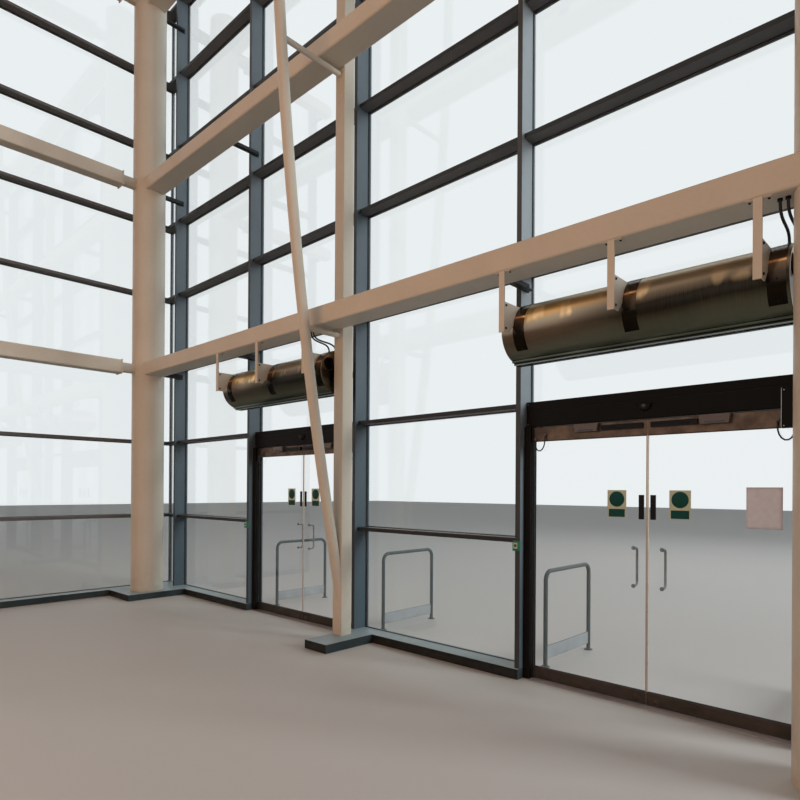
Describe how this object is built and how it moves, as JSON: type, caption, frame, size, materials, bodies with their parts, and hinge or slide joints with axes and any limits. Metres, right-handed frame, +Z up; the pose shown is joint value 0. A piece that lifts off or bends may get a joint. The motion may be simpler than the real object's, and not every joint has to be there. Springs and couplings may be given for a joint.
{
  "type": "glazed entrance wall with automatic swing doors",
  "caption": "Glazed entrance corner of a lobby: curtain wall on steel beams and columns, with pairs of glass swing doors under air curtains.",
  "frame": {"origin": "middle of the footprint of the whole part, on the floor", "axes": "+Z up, +X along the front wall away from the glazed corner, +Y out to the street"},
  "size_m": [9.853, 4.276, 9.833],
  "materials": {
    "wall_grey": "satin powder coat, blue-grey",
    "steel_white": "satin off-white paint",
    "glass": "clear glass",
    "casing_black": "satin near-black",
    "bronze": "dark bronze anodised",
    "stainless": "brushed and polished stainless steel",
    "threshold": "worn strip",
    "guard_grey": "galvanised and painted grey",
    "rubber": "black rubber cable sheath",
    "green": "gloss green"
  },
  "bodies": {
    "wall": {"corner_mullion": "wall_grey", "mullions": "wall_grey", "return_mullion": "wall_grey", "transoms_corner": "wall_grey", "transoms_front": "wall_grey", "transoms_return": "wall_grey", "glass_corner": "glass", "glass_front": "glass", "glass_return": "glass", "sills_front": "wall_grey", "sill_return": "wall_grey", "column_plinth": "wall_grey", "post_plinth": "wall_grey", "column_left": "steel_white", "column_right": "steel_white", "post": "steel_white", "bow_tube": "steel_white", "bow_struts": "steel_white", "beams": "steel_white", "return_beams": "steel_white", "bracket_plates": "casing_black", "bracket_arms": "casing_black", "headers": "casing_black", "motion_sensors": "casing_black", "end_box": "casing_black", "door_jambs": "casing_black", "thresholds": "threshold", "air_curtain_1": "stainless", "air_curtain_2": "stainless", "drum_straps": "stainless", "drum_hangers": "steel_white", "cable_glands": "rubber", "cable_1_front": "rubber", "cable_1_rear": "rubber", "cable_2_front": "rubber", "cable_2_rear": "rubber", "guard_rails": "guard_grey", "call_points": "green"},
    "leaf_1_left": {"leaf_1_left_glass": "glass", "leaf_1_left_rails": "bronze", "leaf_1_left_handles": "stainless"},
    "leaf_1_right": {"leaf_1_right_glass": "glass", "leaf_1_right_rails": "bronze", "leaf_1_right_handles": "stainless"},
    "leaf_2_left": {"leaf_2_left_glass": "glass", "leaf_2_left_rails": "bronze", "leaf_2_left_handles": "stainless"},
    "leaf_2_right": {"leaf_2_right_glass": "glass", "leaf_2_right_rails": "bronze", "leaf_2_right_handles": "stainless"}
  },
  "joints": [
    {"name": "door_1_left", "type": "hinge", "parent": "wall", "child": "leaf_1_left", "pos_m": [-1.9935, 0.827, 1.14], "axis": [0, 0, 1], "range_deg": [0, 90]},
    {"name": "door_1_right", "type": "hinge", "parent": "wall", "child": "leaf_1_right", "pos_m": [-0.0885, 0.827, 1.14], "axis": [0, 0, -1], "range_deg": [0, 90]},
    {"name": "door_2_left", "type": "hinge", "parent": "wall", "child": "leaf_2_left", "pos_m": [2.4065, 0.827, 1.14], "axis": [0, 0, 1], "range_deg": [0, 90]},
    {"name": "door_2_right", "type": "hinge", "parent": "wall", "child": "leaf_2_right", "pos_m": [4.3115, 0.827, 1.14], "axis": [0, 0, -1], "range_deg": [0, 90]}
  ]
}
